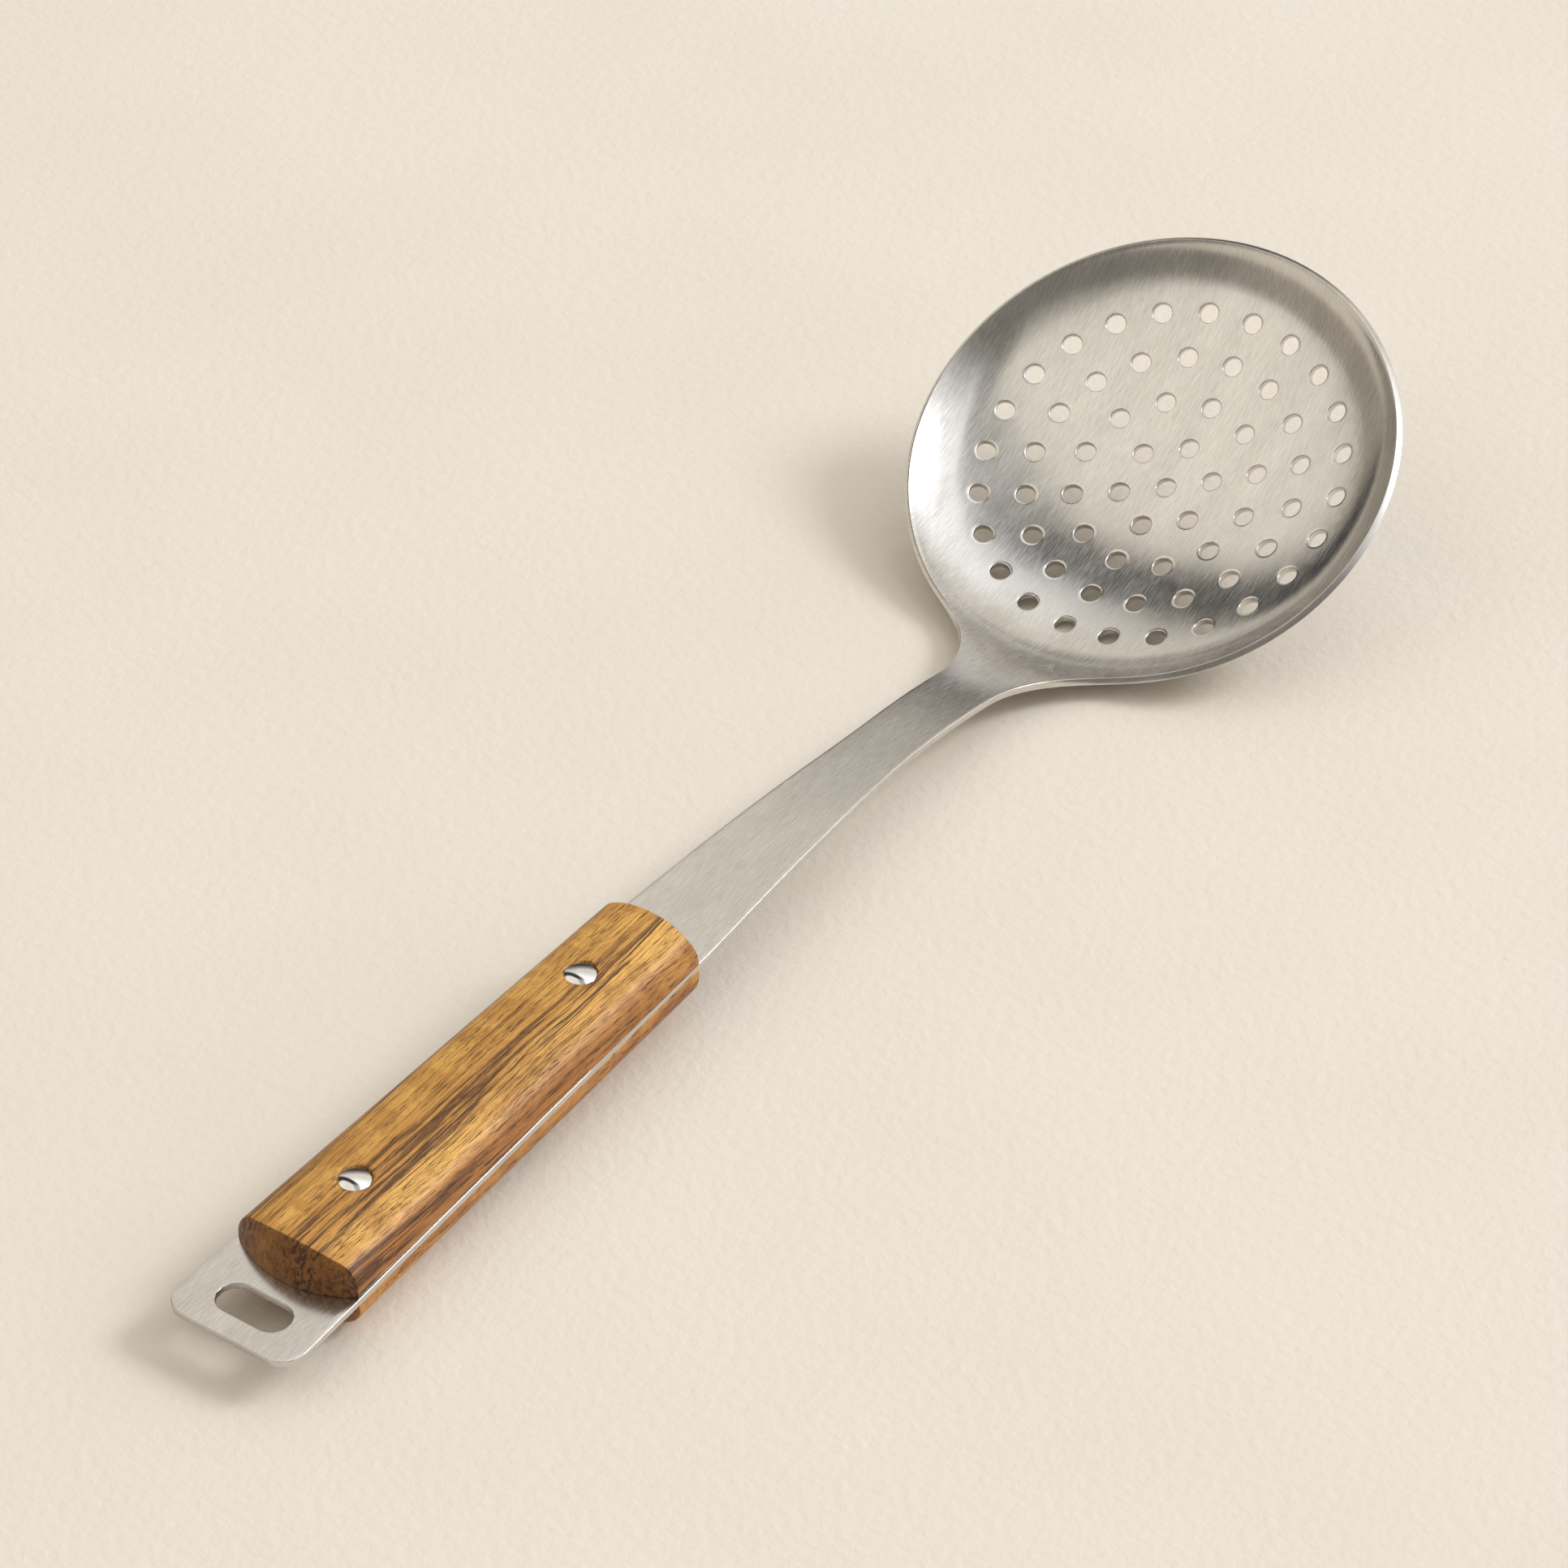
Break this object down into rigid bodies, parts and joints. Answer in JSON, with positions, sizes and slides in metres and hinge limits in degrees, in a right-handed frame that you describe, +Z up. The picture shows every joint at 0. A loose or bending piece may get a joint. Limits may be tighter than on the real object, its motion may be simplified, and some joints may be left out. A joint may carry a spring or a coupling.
{
  "type": "kitchen skimmer",
  "caption": "Perforated steel skimmer: a shallow round dish with drain holes, a curved shank and a riveted wooden handle that ends in a slotted hanging tab.",
  "frame": {"origin": "middle of the bounding box in plan, on the table the skimmer lies on", "axes": "+X along the handle toward the dish, +Y to the left, +Z up from the table"},
  "size_m": [0.3514, 0.107, 0.0524],
  "materials": {
    "brushed_sheet": "fine satin brushing along the shank and soft brushing in the dish",
    "oiled_wood": "oiled golden brown hardwood with dark streaks and open pores",
    "polished_rivet": "polished stainless steel"
  },
  "bodies": {
    "root": {"blade": "brushed_sheet", "upper_scale": "oiled_wood", "lower_scale": "oiled_wood", "front_rivet_cap": "polished_rivet", "front_rivet_post": "polished_rivet", "rear_rivet_cap": "polished_rivet", "rear_rivet_post": "polished_rivet"}
  },
  "joints": []
}
